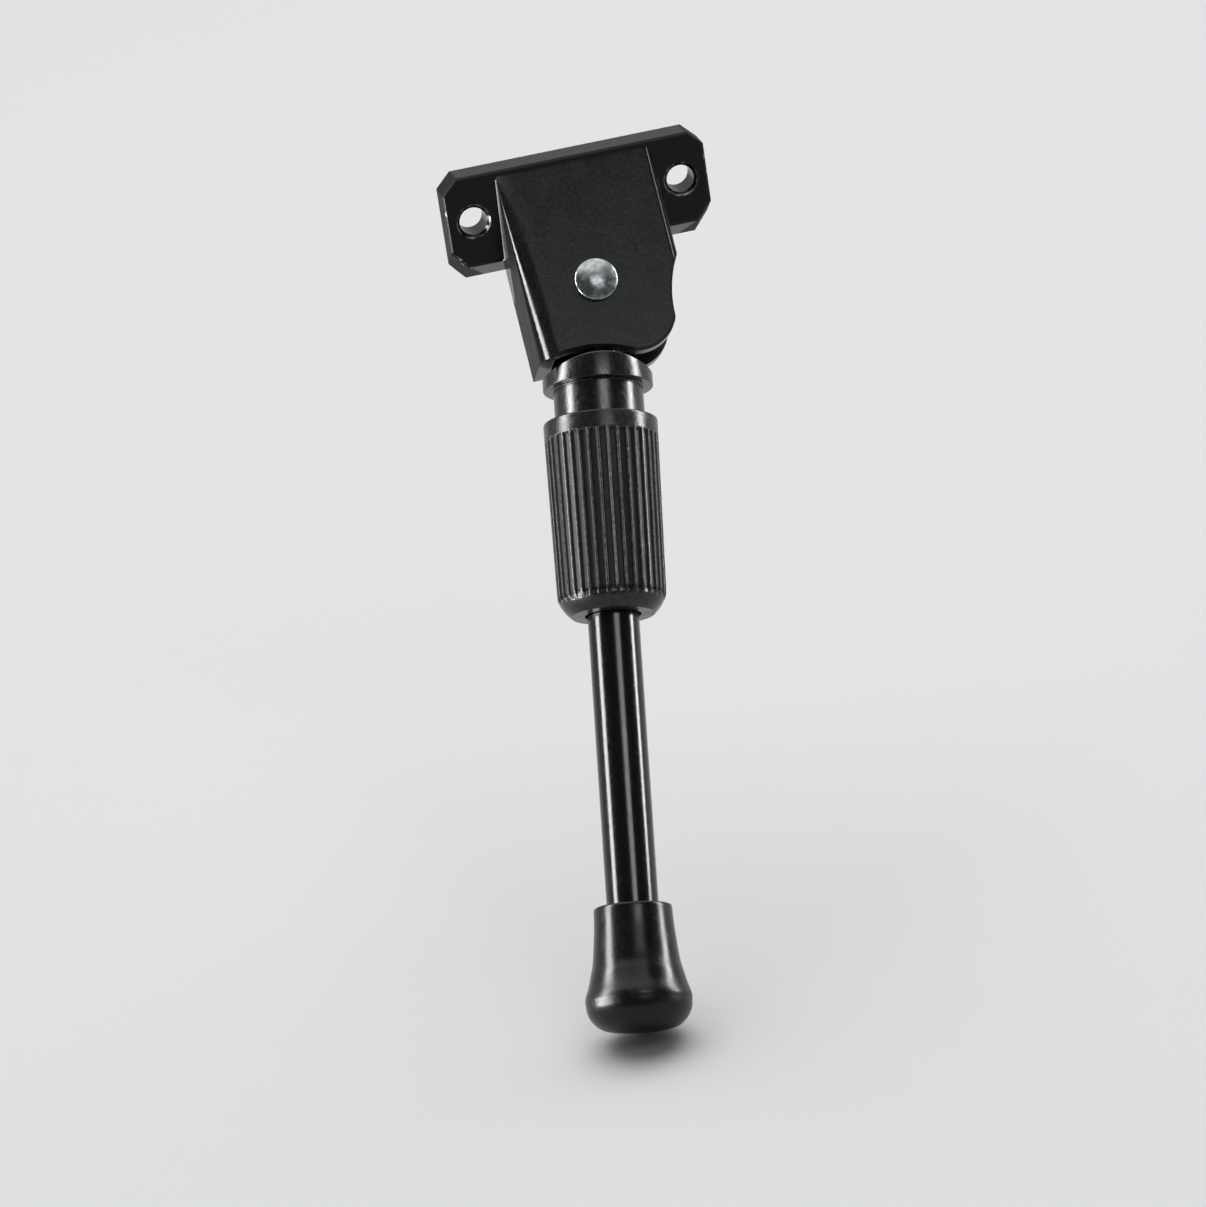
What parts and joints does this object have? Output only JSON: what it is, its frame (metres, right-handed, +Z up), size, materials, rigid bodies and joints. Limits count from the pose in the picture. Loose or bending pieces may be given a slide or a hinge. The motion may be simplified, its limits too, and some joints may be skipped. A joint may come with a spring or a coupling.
{
  "type": "scooter kickstand",
  "caption": "Folding kickstand: a riveted sheet-steel bracket with a cam edge carries a swinging round leg with a sprung cam collar, a ribbed grip sleeve and a flared rubber foot.",
  "frame": {"origin": "midway between the two bolt holes, on the rear mounting face", "axes": "+X along the line of the bolt holes towards the stow side, +Y out of the rear mounting face, +Z up"},
  "size_m": [0.0626, 0.099, 0.1504],
  "materials": {
    "bracket_paint": "satin black coat",
    "leg_paint": "gloss black coat",
    "zinc": "zinc plated",
    "spring_steel": "oiled spring steel",
    "sleeve_plastic": "satin dark grey",
    "foot_rubber": "semi-gloss black"
  },
  "bodies": {
    "bracket": {"front_shell": "bracket_paint", "back_plate": "bracket_paint", "pivot_rivet": "zinc"},
    "leg": {"leg_rod": "leg_paint", "retaining_ring": "spring_steel", "spring_seat_washer": "zinc", "grip_sleeve": "sleeve_plastic", "rubber_foot": "foot_rubber", "compression_spring": "spring_steel"},
    "collar": {"cam_collar": "leg_paint"}
  },
  "joints": [
    {"name": "leg_swing", "type": "hinge", "parent": "bracket", "child": "leg", "pos_m": [-0.00115, -0.01256, -0.01692], "axis": [0, -0.8348, 0.5505], "range_deg": [0, 85]},
    {"name": "collar_slide", "type": "slide", "parent": "leg", "child": "collar", "axis": [-0.1754, -0.542, -0.8219], "range_m": [0, 0.0066], "deforming": ["compression_spring"]}
  ],
  "couplings": [
    {"joint": "collar_slide", "follows": "leg_swing", "m_per_rad": 0.00444}
  ]
}
